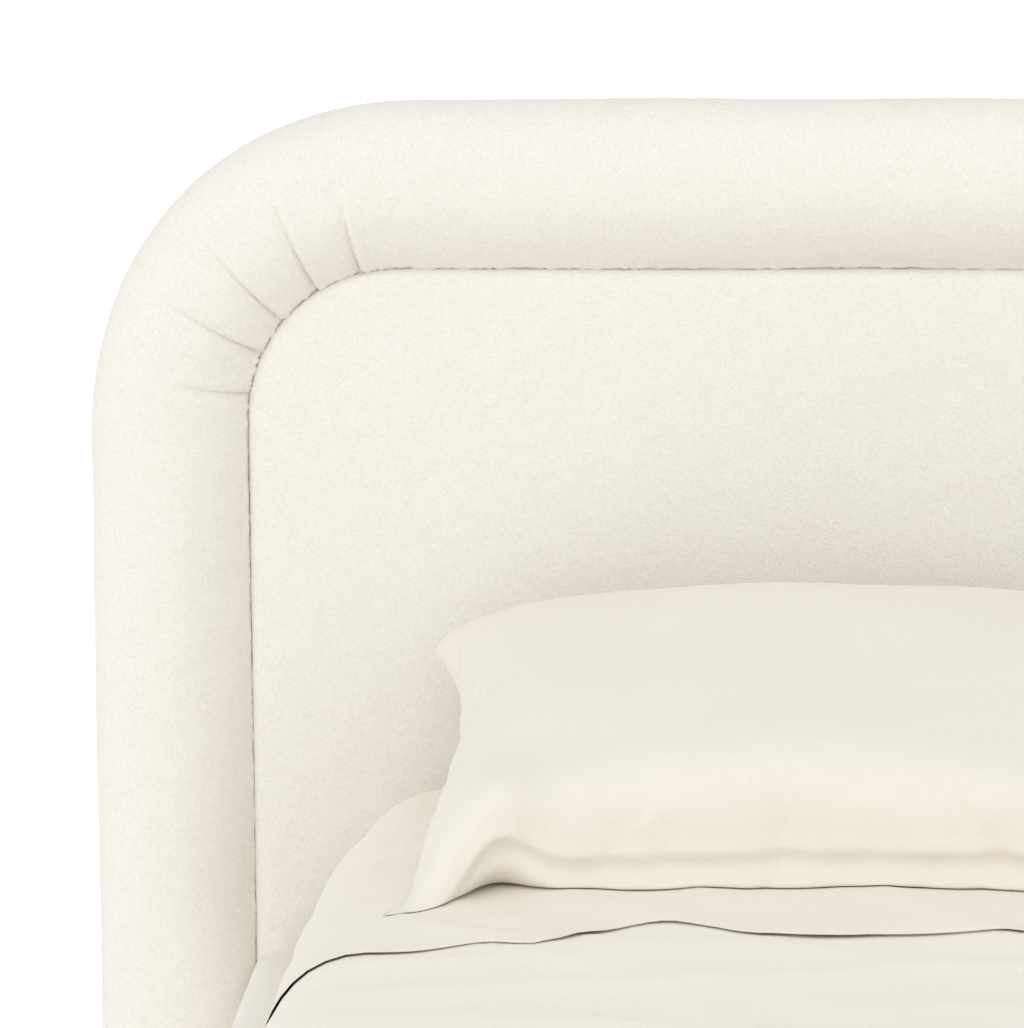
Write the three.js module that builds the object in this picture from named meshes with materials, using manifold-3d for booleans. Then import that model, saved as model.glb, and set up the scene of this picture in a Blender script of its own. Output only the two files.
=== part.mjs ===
// Queen-size upholstered bed: a headboard with a wide padded border round a flat padded panel,
// padded side and foot rails, a slatted base, a mattress and its bedding.
// Millimetres. +Z is up, +Y points to the head end, and the floor is z = 0.

import * as THREE from "three";
import { mergeVertices } from "three/addons/utils/BufferGeometryUtils.js";
import Module from "manifold-3d";

const wasm = await Module();
wasm.setup();

// ---- Driving dimensions ----------------------------------------------------------------------

const GAP = 0.3; // clearance between pieces that touch

const MATTRESS = { width: 1530, length: 2030, height: 280, cornerRadius: 70, edge: 35, arcSteps: 3 };
const HEADBOARD = { width: 1950, height: 1270, cornerAxis: 315, cornerPower: 2.2, bottom: 25 };
const BORDER = { side: 142, top: 153, innerRadius: 136, crown: 48, crownDepth: 34 };
const PANEL_CROWN = [14, 8]; // width and depth of the panel's rounded edge
const RAIL = { thickness: 50, bottom: 140, top: 490, round: 20, board: 22 };
const CLOTH = { border: 4, panel: 3, rail: 3, sheet: 1.5, turnedSheet: 4, back: 1.2 };

// Layers of the headboard, as distances forward from its back.
const LAYER = { frame: 2, carrier: 32.3, front: 44.4, panelFoam: 56.7, panelFace: 86, borderFace: 118 };
const EDGE_WRAP = 24; // padding round the outer edge of the frame and the carrier
const BACK_INSET = 14;

const BEYOND = 1; // how far a cutting shape reaches past what it cuts

const POST = { inner: 725, outer: 845, foot: 15, top: 1101 };
const RAIL_BOARD_WIDTH = 89; // height of the headboard's cross rails
const MID_RAIL_BOTTOM = 560;
const LOW_RAIL_BOTTOM = 150;
const GLIDE = { width: 60, depth: 26, inset: 1 };

const MATTRESS_HEAD_GAP = 12;
const MATTRESS_FOOT_GAP = 15;
const SLAT = { count: 10, width: 100, thickness: 18, top: 348, overhang: 5 };
const CLEAT = { thickness: 30, height: 40 };
const BEAM = { width: 44, height: 70 };
const CENTRE_LEG = { width: 44, bore: 5.4, boreDepth: 85, fromCentre: 480 };
const LEVELLER = { padRadius: 26, padHeight: 10, stemRadius: 5, stemLength: 60 };
const FOOT = { topRadius: 38, bottomRadius: 27, inset: 62, blockSize: 70, blockHeight: 150 };
const BRACKET = { thickness: 3, reach: 55, length: 90, bottom: 180, height: 100 };
const BOLT = { radius: 4, hole: 4.4, headRadius: 7.5, headHeight: 5, tip: 10, inset: 27, margin: 25 };

const DUVET = { loft: 26, side: 15, headGap: 235 };
const TURN_DOWN = { hem: 680 };
const BEDDING_BOTTOM = RAIL.top + 6;
const PILLOW = { length: 650, width: 525, halfThickness: 94, tilt: 12, power: 5, gap: 6, lean: 30, sink: 30 };

// ---- Places worked out from them -------------------------------------------------------------

const halfWidth = HEADBOARD.width / 2;
const innerHalf = halfWidth - BORDER.side;
const innerTop = HEADBOARD.height - BORDER.top;
const railOuter = innerHalf - 3;
const railInner = railOuter - RAIL.thickness;
const totalLength = LAYER.panelFace + MATTRESS_HEAD_GAP + MATTRESS.length + MATTRESS_FOOT_GAP + RAIL.thickness;
const backY = totalLength / 2;
const footY = -totalLength / 2;
const railHeadY = backY - LAYER.front;
const railFootY = footY + RAIL.thickness + GAP;
const panelFaceY = backY - LAYER.panelFace;
const mattressHeadY = panelFaceY - MATTRESS_HEAD_GAP;
const mattressFootY = mattressHeadY - MATTRESS.length;
const slatBottom = SLAT.top - SLAT.thickness;
const mattressBottom = SLAT.top + GAP;
const mattressTop = mattressBottom + MATTRESS.height;

// ---- Materials -------------------------------------------------------------------------------

const material = (color, roughness, metalness = 0) =>
  new THREE.MeshStandardMaterial({ color, roughness, metalness });
const MATERIAL = {
  boucle: material(0xf0ecdf, 0.95),
  linen: material(0xefe9dd, 0.9),
  ticking: material(0xf4f2ec, 0.9),
  lining: material(0x3a3836, 0.9),
  foam: material(0xe9dfb4, 0.95),
  timber: material(0xc79f6b, 0.7),
  plywood: material(0xd3b386, 0.7),
  oak: material(0x7b5a3c, 0.5),
  steel: material(0x35363a, 0.45, 0.9),
  plastic: material(0x222222, 0.6),
};

// ---- Solids ----------------------------------------------------------------------------------

function toSolid(geometry) {
  const plain = geometry.index ? geometry.toNonIndexed() : geometry.clone();
  plain.deleteAttribute("normal");
  plain.deleteAttribute("uv");
  const merged = mergeVertices(plain, 1e-3);
  return new wasm.Manifold(
    new wasm.Mesh({
      numProp: 3,
      vertProperties: merged.attributes.position.array,
      triVerts: new Uint32Array(merged.index.array),
    }),
  );
}

function toGeometry(solid) {
  const mesh = solid.getMesh();
  const geometry = new THREE.BufferGeometry();
  geometry.setAttribute("position", new THREE.BufferAttribute(Float32Array.from(mesh.vertProperties), 3));
  geometry.setIndex(new THREE.BufferAttribute(Uint32Array.from(mesh.triVerts), 1));
  return geometry;
}

const cut = (geometry, ...tools) =>
  toGeometry(tools.reduce((solid, tool) => solid.subtract(toSolid(tool)), toSolid(geometry)));
const keep = (geometry, tool) => toGeometry(toSolid(geometry).intersect(toSolid(tool)));

function box(x0, x1, y0, y1, z0, z1) {
  const geometry = new THREE.BoxGeometry(x1 - x0, y1 - y0, z1 - z0);
  return geometry.translate((x0 + x1) / 2, (y0 + y1) / 2, (z0 + z1) / 2);
}

// A plate standing up: an outline in x and z, from one distance in front of the headboard's back to another.
// With a crown, its front edge is rounded over by that width and depth.
function plate(outline, from, to, crown = 0, crownDepth = 0) {
  const geometry = new THREE.ExtrudeGeometry(new THREE.Shape(outline), {
    depth: to - from,
    bevelEnabled: crown > 0,
    bevelSize: crown,
    bevelOffset: -crown,
    bevelThickness: crownDepth,
    bevelSegments: 4,
  });
  if (!crown) return geometry.rotateX(Math.PI / 2).translate(0, backY - from, 0);
  geometry.rotateX(Math.PI / 2).translate(0, backY - from + crownDepth, 0);
  const reach = halfWidth + BEYOND;
  const top = HEADBOARD.height + BEYOND;
  return keep(geometry, box(-reach, reach, backY - to - BEYOND, backY - from, -BEYOND, top));
}

// A bar along y whose section is an outline in x and z.
function barAlongY(section, y0, y1) {
  const geometry = new THREE.ExtrudeGeometry(section, { depth: y1 - y0, bevelEnabled: false });
  return geometry.rotateX(Math.PI / 2).translate(0, y1, 0);
}

// A bar along x whose section is an outline in y and z.
function barAlongX(section, x0, x1) {
  const geometry = new THREE.ExtrudeGeometry(section, { depth: x1 - x0, bevelEnabled: false });
  return geometry.rotateX(Math.PI / 2).rotateZ(Math.PI / 2).translate(x0, 0, 0);
}

function rod(radius, sides, from, to, x, z) {
  const geometry = new THREE.CylinderGeometry(radius, radius, from - to, sides);
  return geometry.translate(x, (from + to) / 2, z);
}

function upright(radiusTop, radiusBottom, sides, z0, z1, x, y) {
  const geometry = new THREE.CylinderGeometry(radiusTop, radiusBottom, z1 - z0, sides);
  return geometry.rotateX(Math.PI / 2).translate(x, y, (z0 + z1) / 2);
}

// A block lying flat with rounded corners, and its upper and lower edges rounded over.
function softBlock(halfX, y0, y1, z0, z1, corner, edge) {
  const halfY = (y1 - y0) / 2;
  const geometry = new THREE.ExtrudeGeometry(roundedRect(-halfX, halfX, -halfY, halfY, corner), {
    depth: z1 - z0 - 2 * edge,
    bevelSize: edge,
    bevelOffset: -edge,
    bevelThickness: edge,
    bevelSegments: MATTRESS.arcSteps,
    curveSegments: 5,
  });
  return geometry.translate(0, (y0 + y1) / 2, z0 + edge);
}

// ---- Outlines --------------------------------------------------------------------------------

function roundedRect(x0, x1, y0, y1, radius) {
  const shape = new THREE.Shape();
  shape.moveTo(x0 + radius, y0);
  shape.lineTo(x1 - radius, y0);
  shape.absarc(x1 - radius, y0 + radius, radius, -Math.PI / 2, 0, false);
  shape.lineTo(x1, y1 - radius);
  shape.absarc(x1 - radius, y1 - radius, radius, 0, Math.PI / 2, false);
  shape.lineTo(x0 + radius, y1);
  shape.absarc(x0 + radius, y1 - radius, radius, Math.PI / 2, Math.PI, false);
  shape.lineTo(x0, y0 + radius);
  shape.absarc(x0 + radius, y0 + radius, radius, Math.PI, 1.5 * Math.PI, false);
  return shape;
}

// A rectangle with only its two upper corners rounded.
function tombstone(x0, x1, y0, y1, radius) {
  const shape = new THREE.Shape();
  shape.moveTo(x0, y0);
  shape.lineTo(x1, y0);
  shape.lineTo(x1, y1 - radius);
  shape.absarc(x1 - radius, y1 - radius, radius, 0, Math.PI / 2, false);
  shape.lineTo(x0 + radius, y1);
  shape.absarc(x0 + radius, y1 - radius, radius, Math.PI / 2, Math.PI, false);
  return shape;
}

// An arch from its lower right end, over the top, to its lower left end. Its corners are
// superellipses: power 2 is a circle, and a higher power is squarer.
function arch(half, top, bottom, axis, power, steps) {
  const right = [new THREE.Vector2(half, bottom)];
  for (let i = 0; i <= steps; i++) {
    const angle = ((Math.PI / 2) * i) / steps;
    const across = Math.cos(angle) ** (2 / power);
    const up = Math.sin(angle) ** (2 / power);
    right.push(new THREE.Vector2(half - axis + axis * across, top - axis + axis * up));
  }
  const left = right.map((p) => new THREE.Vector2(-p.x, p.y)).reverse();
  return [...right, ...left];
}

const outerArch = (inset, bottom = HEADBOARD.bottom) =>
  arch(
    halfWidth - inset,
    HEADBOARD.height - inset,
    bottom,
    HEADBOARD.cornerAxis - inset,
    HEADBOARD.cornerPower,
    12,
  );
const innerArch = (offset, bottom = HEADBOARD.bottom) =>
  arch(innerHalf + offset, innerTop + offset, bottom, BORDER.innerRadius + offset, 2, 8);
const borderOutline = (inset) => [
  ...outerArch(inset, HEADBOARD.bottom + inset),
  ...innerArch(inset, HEADBOARD.bottom + inset).reverse(),
];
const panelOutline = (inset) => innerArch(-inset, RAIL.top + 4 + inset);

// ---- The scene graph -------------------------------------------------------------------------

const bed = new THREE.Group();

function add(name, geometry, slot, parent = bed) {
  const mesh = new THREE.Mesh(geometry, MATERIAL[slot]);
  mesh.name = name;
  parent.add(mesh);
  return mesh;
}

const SIDES = [
  { name: "left", sign: -1 },
  { name: "right", sign: 1 },
];
const sideBox = (sign, near, far, ...rest) => (sign > 0 ? box(near, far, ...rest) : box(-far, -near, ...rest));

// ---- Headboard -------------------------------------------------------------------------------

const boltX = POST.inner + BOLT.inset;
const boltHeights = [BRACKET.bottom + BOLT.margin, BRACKET.bottom + BRACKET.height - BOLT.margin];
const boltHoles = (sign) =>
  boltHeights.map((z) => rod(BOLT.hole, 12, backY + BEYOND, backY - 2 * LAYER.front, sign * boltX, z));

function headboardFrame() {
  const front = backY - LAYER.carrier + GAP;
  const back = backY - LAYER.frame;
  for (const { name, sign } of SIDES) {
    const post = sideBox(sign, POST.inner, POST.outer, front, back, POST.foot + GAP, POST.top);
    add("headboard_post_" + name, cut(post, ...boltHoles(sign)), "timber");
    const middle = (sign * (POST.inner + POST.outer)) / 2;
    const half = GLIDE.width / 2;
    const glide = box(middle - half, middle + half, back - GLIDE.depth, back - GLIDE.inset, 0, POST.foot);
    add("headboard_glide_" + name, glide, "plastic");
  }
  const between = POST.inner - GAP;
  const crossRail = (half, z) => box(-half, half, front, back, z, z + RAIL_BOARD_WIDTH);
  add("headboard_top_rail", crossRail(POST.outer, POST.top + GAP), "timber");
  add("headboard_middle_rail", crossRail(between, MID_RAIL_BOTTOM), "timber");
  add("headboard_bottom_rail", crossRail(between, LOW_RAIL_BOTTOM), "timber");
}

function headboardBoards() {
  const carrier = plate(outerArch(EDGE_WRAP), LAYER.carrier, LAYER.front - GAP);
  add("headboard_carrier_board", cut(carrier, ...boltHoles(-1), ...boltHoles(1)), "plywood");
  add("headboard_back_cover", plate(outerArch(BACK_INSET), 0, CLOTH.back), "lining");
}

function panel() {
  const cloth = CLOTH.panel;
  const inner = panelOutline(cloth + 2 * GAP);
  add("panel_board", plate(inner, LAYER.front, LAYER.panelFoam - GAP), "plywood");
  add("panel_foam", plate(inner, LAYER.panelFoam, LAYER.panelFace - cloth - GAP, ...PANEL_CROWN), "foam");
  const outside = plate(panelOutline(GAP), LAYER.front, LAYER.panelFace, ...PANEL_CROWN);
  const hollow = panelOutline(cloth + GAP);
  const inside = plate(hollow, LAYER.front - BEYOND, LAYER.panelFace - cloth, ...PANEL_CROWN);
  add("panel_cover", cut(outside, inside), "boucle");
}

const crowned = (inset, from, to) =>
  plate(borderOutline(inset), from, to, BORDER.crown - inset, BORDER.crownDepth);

// The border wraps the outer edge of the carrier and the frame. This is the space that they take.
const borderCore = () => plate(outerArch(EDGE_WRAP - GAP, HEADBOARD.bottom - BEYOND), -BEYOND, LAYER.front);

function borderFoam() {
  const inset = CLOTH.border + GAP;
  const foam = cut(crowned(inset, LAYER.frame, LAYER.borderFace - inset), borderCore());
  const corner = { x: halfWidth - HEADBOARD.cornerAxis, z: HEADBOARD.height - HEADBOARD.cornerAxis };
  const reach = halfWidth + BEYOND;
  const slice = (x0, x1, z0, z1) => keep(foam, box(x0, x1, backY - LAYER.borderFace, backY + BEYOND, z0, z1));
  add("border_foam_top", slice(-corner.x + GAP, corner.x - GAP, corner.z, HEADBOARD.height), "foam");
  for (const { name, sign } of SIDES) {
    const [x0, x1] = sign > 0 ? [corner.x, reach] : [-reach, -corner.x];
    add("border_foam_corner_" + name, slice(x0, x1, corner.z, HEADBOARD.height), "foam");
    add("border_foam_" + name, slice(x0, x1, 0, corner.z - GAP), "foam");
  }
}

function borderCover() {
  const outside = crowned(0, LAYER.frame, LAYER.borderFace);
  const inside = crowned(CLOTH.border, LAYER.frame - BEYOND, LAYER.borderFace - CLOTH.border);
  add("border_cover", cut(outside, inside, borderCore()), "boucle");
}

// ---- Rails -----------------------------------------------------------------------------------

// The sections of a padded rail, drawn with `across` running from its inner face to its outer one
// and turned into place by toOutline. The foam lies outside and on top of the board.
function railSections(toOutline) {
  const { thickness, bottom, top, round, board } = RAIL;
  const outline = (inset) => {
    const shape = tombstone(inset, thickness - inset, bottom + inset, top - inset, round - inset);
    const points = shape.getPoints(4).map(toOutline);
    return THREE.ShapeUtils.isClockWise(points) ? points.reverse() : points;
  };
  const inset = CLOTH.rail + GAP;
  return {
    outside: new THREE.Shape(outline(0)),
    inside: new THREE.Shape(outline(CLOTH.rail)),
    padding: new THREE.Shape(outline(inset)),
    board: { inner: inset, outer: inset + board, bottom: bottom + inset, top: top - round - 4 },
  };
}

function sideRails() {
  for (const { name, sign } of SIDES) {
    const toOutline = (p) => new THREE.Vector2(sign * (railInner + p.x), p.y);
    const { outside, inside, padding, board } = railSections(toOutline);
    const slab = (near, far, z0, z1, over = 0) =>
      sideBox(sign, railInner + near, railInner + far, railFootY - over, railHeadY + over, z0, z1);
    const boardSpace = slab(-BEYOND, board.outer + GAP, 0, board.top + GAP, BEYOND);
    const hollow = barAlongY(inside, railFootY - BEYOND, railHeadY + BEYOND);
    const tube = cut(barAlongY(outside, railFootY, railHeadY), hollow);
    add("side_rail_" + name + "_board", slab(board.inner, board.outer, board.bottom, board.top), "timber");
    add("side_rail_" + name + "_foam", cut(barAlongY(padding, railFootY, railHeadY), boardSpace), "foam");
    add("side_rail_" + name + "_cover", tube, "boucle");
    const cleat = sideBox(
      sign,
      railInner - GAP - CLEAT.thickness,
      railInner - GAP,
      railFootY + FOOT.blockSize + 2 * GAP,
      railHeadY - BRACKET.length - GAP,
      slatBottom - GAP - CLEAT.height,
      slatBottom - GAP,
    );
    add("slat_cleat_" + name, cleat, "timber");
  }
}

function footRail() {
  const inner = footY + RAIL.thickness;
  const { outside, inside, padding, board } = railSections((p) => new THREE.Vector2(inner - p.x, p.y));
  const slab = (near, far, z0, z1, over = 0) =>
    box(-railOuter - over, railOuter + over, inner - far, inner - near, z0, z1);
  const boardSpace = slab(-BEYOND, board.outer + GAP, 0, board.top + GAP, BEYOND);
  const hollow = barAlongX(inside, -railOuter - BEYOND, railOuter + BEYOND);
  const tube = cut(barAlongX(outside, -railOuter, railOuter), hollow);
  add("foot_rail_board", slab(board.inner, board.outer, board.bottom, board.top), "timber");
  add("foot_rail_foam", cut(barAlongX(padding, -railOuter, railOuter), boardSpace), "foam");
  add("foot_rail_cover", tube, "boucle");
}

// ---- Joints between the rails and the headboard, and the feet ----------------------------------

function headBrackets() {
  const { thickness, reach, length, bottom, height } = BRACKET;
  for (const { name, sign } of SIDES) {
    const section = new THREE.Shape(
      [
        [railInner - GAP, 0],
        [railInner - GAP - reach, 0],
        [railInner - GAP - reach, thickness],
        [railInner - GAP - thickness, thickness],
        [railInner - GAP - thickness, length],
        [railInner - GAP, length],
      ].map(([x, forward]) => new THREE.Vector2(sign * x, railHeadY - GAP - forward)),
    );
    const angle = new THREE.ExtrudeGeometry(section, { depth: height, bevelEnabled: false });
    add("rail_bracket_" + name, cut(angle.translate(0, 0, bottom), ...boltHoles(sign)), "steel");
    const seat = railHeadY - GAP - thickness - GAP;
    boltHeights.forEach((z, i) => {
      const profile = [
        [0, seat - BOLT.headHeight],
        [BOLT.headRadius, seat - BOLT.headHeight],
        [BOLT.headRadius, seat],
        [BOLT.radius, seat],
        [BOLT.radius, backY - BOLT.tip],
        [0, backY - BOLT.tip],
      ].map(([radius, y]) => new THREE.Vector2(radius, y));
      const bolt = new THREE.LatheGeometry(profile, 12).translate(sign * boltX, 0, z);
      add("rail_bolt_" + name + (i ? "_upper" : "_lower"), bolt, "steel");
    });
  }
}

function feet() {
  for (const { name, sign } of SIDES) {
    const near = railInner - GAP - FOOT.blockSize;
    const block = sideBox(
      sign,
      near,
      railInner - GAP,
      railFootY + GAP,
      railFootY + FOOT.blockSize,
      RAIL.bottom,
      RAIL.bottom + FOOT.blockHeight,
    );
    add("foot_corner_block_" + name, block, "timber");
    const x = sign * (railOuter - FOOT.inset);
    const foot = upright(FOOT.topRadius, FOOT.bottomRadius, 16, 0, RAIL.bottom - GAP, x, footY + FOOT.inset);
    add("foot_" + name, foot, "oak");
  }
}

// ---- Slatted base ------------------------------------------------------------------------------

function centreSupport() {
  const half = BEAM.width / 2;
  const beamBottom = slatBottom - GAP - BEAM.height;
  add("centre_beam", box(-half, half, railFootY + GAP, railHeadY - GAP, beamBottom, slatBottom - GAP), "timber");
  for (const [name, sign] of [["head", 1], ["foot", -1]]) {
    const y = sign * CENTRE_LEG.fromCentre;
    const legHalf = CENTRE_LEG.width / 2;
    const legBottom = LEVELLER.padHeight + GAP;
    const leg = box(-legHalf, legHalf, y - legHalf, y + legHalf, legBottom, beamBottom - GAP);
    const bore = upright(CENTRE_LEG.bore, CENTRE_LEG.bore, 12, 0, legBottom + CENTRE_LEG.boreDepth, 0, y);
    add("centre_leg_" + name, cut(leg, bore), "timber");
    const profile = [
      [0, 0],
      [LEVELLER.padRadius, 0],
      [LEVELLER.padRadius, LEVELLER.padHeight],
      [LEVELLER.stemRadius, LEVELLER.padHeight],
      [LEVELLER.stemRadius, LEVELLER.padHeight + LEVELLER.stemLength],
      [0, LEVELLER.padHeight + LEVELLER.stemLength],
    ].map(([radius, z]) => new THREE.Vector2(radius, z));
    const leveller = new THREE.LatheGeometry(profile, 16).rotateX(Math.PI / 2).translate(0, y, 0);
    add("leveller_" + name, leveller, "plastic");
  }
}

function slats() {
  const pitch = MATTRESS.length / SLAT.count;
  const half = railInner - SLAT.overhang;
  for (let i = 0; i < SLAT.count; i++) {
    const y = mattressFootY + pitch * (i + 0.5);
    const slat = box(-half, half, y - SLAT.width / 2, y + SLAT.width / 2, slatBottom, SLAT.top);
    add("slat_" + String(i + 1).padStart(2, "0"), slat, "timber");
  }
}

// ---- Mattress and bedding ------------------------------------------------------------------------

// The mattress grown by one thickness at its sides and another on top.
const mattressBlock = (side, top, bottom = mattressBottom) =>
  softBlock(
    MATTRESS.width / 2 + side,
    mattressFootY - side,
    mattressHeadY + side,
    bottom,
    mattressTop + top,
    MATTRESS.cornerRadius + side,
    MATTRESS.edge,
  );

const band = (y0, y1, z0) => box(-innerHalf, innerHalf, y0, y1, z0, HEADBOARD.height);
const pastFoot = footY; // bands that end here or at the panel's face take in a whole end
const pastHead = panelFaceY;
const farBelow = mattressBottom - 2 * MATTRESS.edge;

function mattress() {
  add("mattress", mattressBlock(0, 0), "ticking");
  const outside = mattressBlock(GAP + CLOTH.sheet, GAP + CLOTH.sheet, farBelow);
  const sheet = cut(outside, mattressBlock(GAP, GAP, farBelow - BEYOND));
  add("fitted_sheet", keep(sheet, band(pastFoot, pastHead, mattressBottom + MATTRESS.edge)), "linen");
}

// The duvet lies on the mattress and is tucked in at the sides and the foot. The sheet is turned
// back over its head end.
function covers() {
  const under = 2 * GAP + CLOTH.sheet;
  const headEdge = panelFaceY - DUVET.headGap;
  const side = Math.min(DUVET.side, MATTRESS_FOOT_GAP - GAP);
  const duvetOutside = mattressBlock(side, DUVET.loft, farBelow);
  const mattressSpace = mattressBlock(under, under, farBelow - BEYOND);
  const duvetBand = band(pastFoot, headEdge, BEDDING_BOTTOM);
  add("duvet", keep(cut(duvetOutside, mattressSpace), duvetBand), "linen");

  const cloth = CLOTH.turnedSheet;
  const sheetOutside = mattressBlock(side + cloth, DUVET.loft + cloth, farBelow);
  const sheetBand = band(panelFaceY - TURN_DOWN.hem, headEdge + cloth, BEDDING_BOTTOM + GAP);
  const duvetSpace = keep(
    mattressBlock(side + GAP, DUVET.loft + GAP, farBelow - BEYOND),
    band(pastFoot, headEdge + GAP, 0),
  );
  add("turned_sheet", cut(keep(sheetOutside, sheetBand), mattressSpace, duvetSpace), "linen");
}

// A plump cushion: an ellipsoid whose plan is a superellipse, so that it has corners.
function cushion(length, width, halfThickness, power) {
  const geometry = new THREE.SphereGeometry(1, 32, 10).rotateX(Math.PI / 2);
  const position = geometry.attributes.position;
  const point = new THREE.Vector3();
  const spread = (part, whole) => Math.sign(part) * Math.abs(part / whole) ** (2 / power) * whole;
  for (let i = 0; i < position.count; i++) {
    point.fromBufferAttribute(position, i);
    const radius = Math.hypot(point.x, point.y);
    if (radius > 1e-6) {
      point.x = (spread(point.x, radius) * length) / 2;
      point.y = (spread(point.y, radius) * width) / 2;
    }
    position.setXYZ(i, point.x, point.y, point.z * halfThickness);
  }
  return toGeometry(toSolid(geometry));
}

// The pillows lie side by side on the turned-down sheet, their head edges raised against the panel
// and their undersides pressed flat by what they rest on.
function pillows() {
  const { length, width, halfThickness, tilt, power, gap, lean, sink } = PILLOW;
  const angle = THREE.MathUtils.degToRad(tilt);
  const back = Math.hypot((width / 2) * Math.cos(angle), halfThickness * Math.sin(angle));
  const low = Math.hypot((width / 2) * Math.sin(angle), halfThickness * Math.cos(angle));
  const restOn = mattressTop + DUVET.loft + CLOTH.turnedSheet + GAP;
  const underside = box(-halfWidth, halfWidth, footY, backY, 0, restOn);
  for (const { name, sign } of SIDES) {
    const x = (sign * (length + gap)) / 2;
    const placed = cushion(length, width, halfThickness, power).rotateX(angle);
    placed.translate(x, panelFaceY - back - lean, restOn + low - sink);
    add("pillow_" + name, cut(placed, underside), "linen");
  }
}

headboardFrame();
headboardBoards();
panel();
borderFoam();
borderCover();
sideRails();
footRail();
headBrackets();
feet();
centreSupport();
slats();
mattress();
covers();
pillows();

export default bed;
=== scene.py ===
"""The looks of the upholstered bed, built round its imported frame.

Metres, +Z up, +Y towards the head end, and x = 0 is the bed's middle."""

import math

import bmesh
import bpy
import numpy as np
from mathutils import Euler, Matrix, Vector


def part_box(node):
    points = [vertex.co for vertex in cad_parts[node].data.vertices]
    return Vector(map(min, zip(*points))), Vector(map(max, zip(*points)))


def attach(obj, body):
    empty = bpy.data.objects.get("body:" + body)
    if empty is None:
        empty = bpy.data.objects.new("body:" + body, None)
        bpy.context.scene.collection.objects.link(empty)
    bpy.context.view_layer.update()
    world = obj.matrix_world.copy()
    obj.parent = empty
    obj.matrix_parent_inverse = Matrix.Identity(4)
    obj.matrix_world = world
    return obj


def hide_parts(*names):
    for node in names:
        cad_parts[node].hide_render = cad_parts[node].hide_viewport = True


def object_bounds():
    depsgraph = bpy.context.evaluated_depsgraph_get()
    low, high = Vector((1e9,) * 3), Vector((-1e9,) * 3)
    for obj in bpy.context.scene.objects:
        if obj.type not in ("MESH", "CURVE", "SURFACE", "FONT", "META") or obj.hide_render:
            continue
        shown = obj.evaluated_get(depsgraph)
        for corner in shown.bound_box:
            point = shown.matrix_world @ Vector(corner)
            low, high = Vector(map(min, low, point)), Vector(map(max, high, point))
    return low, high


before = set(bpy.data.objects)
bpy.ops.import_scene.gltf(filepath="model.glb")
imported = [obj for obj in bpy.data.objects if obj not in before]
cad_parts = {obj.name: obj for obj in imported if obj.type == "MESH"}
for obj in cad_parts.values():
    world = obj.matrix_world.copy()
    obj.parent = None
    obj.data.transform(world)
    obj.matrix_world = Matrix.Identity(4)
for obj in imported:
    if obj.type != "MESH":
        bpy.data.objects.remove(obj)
cad_low, cad_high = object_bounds()

# ---- Places, from the frame ------------------------------------------------------------------

GAP = 0.0003
border_low, border_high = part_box("border_cover")
panel_low, panel_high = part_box("panel_cover")
mattress_low, mattress_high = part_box("mattress")
rail_low, rail_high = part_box("side_rail_right_cover")
foot_rail_low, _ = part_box("foot_rail_cover")
duvet_low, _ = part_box("duvet")

BACK_Y = cad_high.y
PANEL_Y = panel_low.y
BORDER_HALF = border_high.x + 0.004  # with the padding's swell
BORDER_TOP = border_high.z - 0.002
BORDER_BOTTOM = border_low.z
INNER_HALF = panel_high.x + GAP
INNER_TOP = panel_high.z + GAP
RAIL_SWELL = 0.003
RAIL_TOP = rail_high.z - 0.006
RAIL_HALF = rail_high.x + RAIL_SWELL
PANEL_BOTTOM = RAIL_TOP - 0.030  # the panel's cloth runs down behind the rails' ends
CORNER_AXIS = 0.315
CORNER_POWER = 2.2
INNER_RADIUS = 0.136
MATTRESS_TOP = mattress_high.z

# ---- Noise -----------------------------------------------------------------------------------

NOISE_TABLE = 256
NOISE_GAIN = 1.5
RIDGE_GAIN = 1.6


def noise(points, cell, seed):
    """Smooth gradient noise from about -1 to 1. Cell is its features' size along each axis."""
    rng = np.random.default_rng(seed)
    table = rng.permutation(NOISE_TABLE)
    gradients = rng.normal(size=(NOISE_TABLE, 3))
    gradients /= np.linalg.norm(gradients, axis=1, keepdims=True)
    scaled = points.reshape(-1, 3) / np.asarray(cell, float)
    base = np.floor(scaled).astype(int)
    part = scaled - base
    fade = part**3 * (part * (part * 6 - 15) + 10)
    total = np.zeros(len(scaled))
    last = NOISE_TABLE - 1
    for corner in np.ndindex(2, 2, 2):
        i, j, k = ((base + corner) & last).T
        gradient = gradients[table[(table[(table[i] + j) & last] + k) & last]]
        weight = np.prod(np.where(np.array(corner) == 1, fade, 1 - fade), axis=1)
        total += weight * np.einsum("ij,ij->i", gradient, part - corner)
    return (NOISE_GAIN * total).reshape(points.shape[:-1])


def waves(points, table):
    """Noises of several sizes on top of each other. The table's rows are size, height and seed."""
    return sum(noise(points, cell, seed) * height for cell, height, seed in table)


def ridges(points, cell, seed, sharpness=2.0):
    """Noise with narrow raised lines, from 0 to 1, like creases in cloth."""
    return np.clip(1 - np.abs(noise(points, cell, seed)) * RIDGE_GAIN, 0, 1) ** sharpness


def smooth_step(value, low, high):
    """0 up to low, 1 from high, and a smooth rise between them."""
    t = np.clip((value - low) / (high - low), 0, 1)
    return t * t * (3 - 2 * t)


def bell(value, middle, width):
    """1 at the middle, falling smoothly to 0 on both sides."""
    return np.exp(-(((value - middle) / width) ** 2))


# ---- Meshes ----------------------------------------------------------------------------------

WELD = 1e-6  # vertices closer than this are one

def mesh_object(name, vertices, faces, material):
    """A smooth-shaded mesh in one material."""
    mesh = bpy.data.meshes.new(name)
    mesh.from_pydata(vertices.tolist(), [], faces.tolist())
    mesh.materials.append(material)
    mesh.shade_smooth()
    made = bpy.data.objects.new(name, mesh)
    bpy.context.scene.collection.objects.link(made)
    return made


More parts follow.
